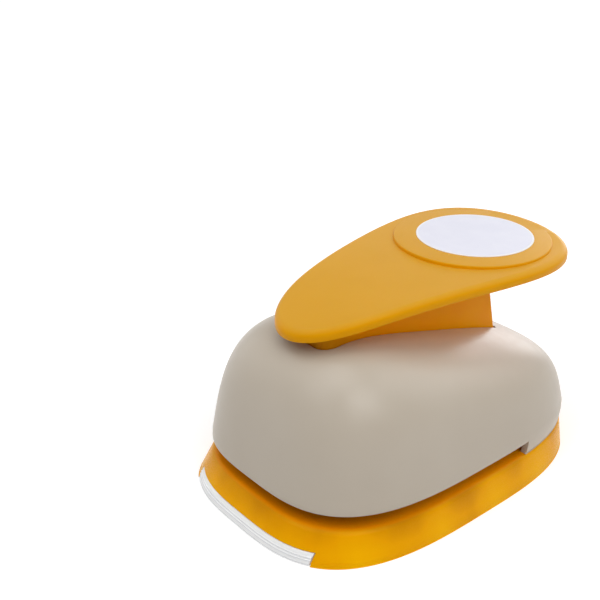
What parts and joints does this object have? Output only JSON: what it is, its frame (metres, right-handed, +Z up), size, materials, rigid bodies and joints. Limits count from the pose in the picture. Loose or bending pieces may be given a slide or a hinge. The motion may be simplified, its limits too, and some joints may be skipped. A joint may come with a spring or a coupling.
{
  "type": "lever circle punch",
  "caption": "Desk craft punch with a domed housing and a long drop-shaped press lever; cuts round shapes from paper slid in at the front, and drops them into a clear slide-out tray.",
  "frame": {"origin": "on the surface that the punch stands on, under the middle of its overall width and length", "axes": "+Z up; +Y towards the rear, where the lever is pressed; the paper goes in from -Y; +X to the right seen from the front"},
  "size_m": [0.1004, 0.1455, 0.0795],
  "materials": {
    "amber_plastic": "translucent amber moulding, glossy",
    "stone_plastic": "warm stone grey moulding, fine satin",
    "clear_plastic": "clear colourless moulding, glossy",
    "orange_plastic": "deep orange moulding, satin gloss",
    "honey_plastic": "honey yellow moulding, soft satin",
    "white_label": "plain white vinyl label, satin",
    "ground_steel": "ground tool steel",
    "die_cast_zinc": "die-cast zinc, dull grey",
    "fastener_steel": "plated steel",
    "spring_wire": "bright spring wire"
  },
  "bodies": {
    "frame": {"base": "amber_plastic", "housing": "stone_plastic", "die_plate": "ground_steel", "spacer_plate": "ground_steel", "guide_plate": "die_cast_zinc", "frame_rivet_1": "fastener_steel", "frame_rivet_2": "fastener_steel", "frame_rivet_3": "fastener_steel", "frame_rivet_4": "fastener_steel", "guide_post_1": "ground_steel", "guide_post_2": "ground_steel", "return_spring_1": "spring_wire", "return_spring_2": "spring_wire", "pivot_bracket": "die_cast_zinc", "bracket_screw_1": "fastener_steel", "bracket_screw_2": "fastener_steel", "pivot_pin": "ground_steel", "pivot_clip": "fastener_steel", "die_screw_1": "fastener_steel", "die_screw_2": "fastener_steel", "die_screw_3": "fastener_steel", "die_screw_4": "fastener_steel", "housing_screw_1": "fastener_steel", "housing_screw_2": "fastener_steel", "housing_screw_3": "fastener_steel", "housing_screw_4": "fastener_steel"},
    "lever": {"lever_arm": "orange_plastic", "paddle": "honey_plastic", "paddle_screw_1": "fastener_steel", "paddle_screw_2": "fastener_steel", "paddle_screw_3": "fastener_steel", "paddle_screw_4": "fastener_steel", "top_label": "white_label"},
    "ram": {"round_punch": "ground_steel", "crosshead": "die_cast_zinc", "punch_screw_1": "fastener_steel", "punch_screw_2": "fastener_steel"},
    "tray": {"shape_tray": "clear_plastic"}
  },
  "joints": [
    {"name": "lever_press", "type": "hinge", "parent": "frame", "child": "lever", "pos_m": [0, -0.04485, 0.048], "axis": [-1, 0, 0], "range_deg": [0, 14]},
    {"name": "punch_stroke", "type": "slide", "parent": "frame", "child": "ram", "axis": [0, 0, -1], "range_m": [0, 0.00857], "stiffness_N_per_m": 1000, "springref_m": -0.008, "deforming": ["return_spring_1", "return_spring_2"]},
    {"name": "tray_pull", "type": "slide", "parent": "frame", "child": "tray", "axis": [0, -1, 0], "range_m": [0, 0.07]}
  ],
  "couplings": [
    {"joint": "punch_stroke", "follows": "lever_press", "m_per_rad": 0.03507}
  ]
}
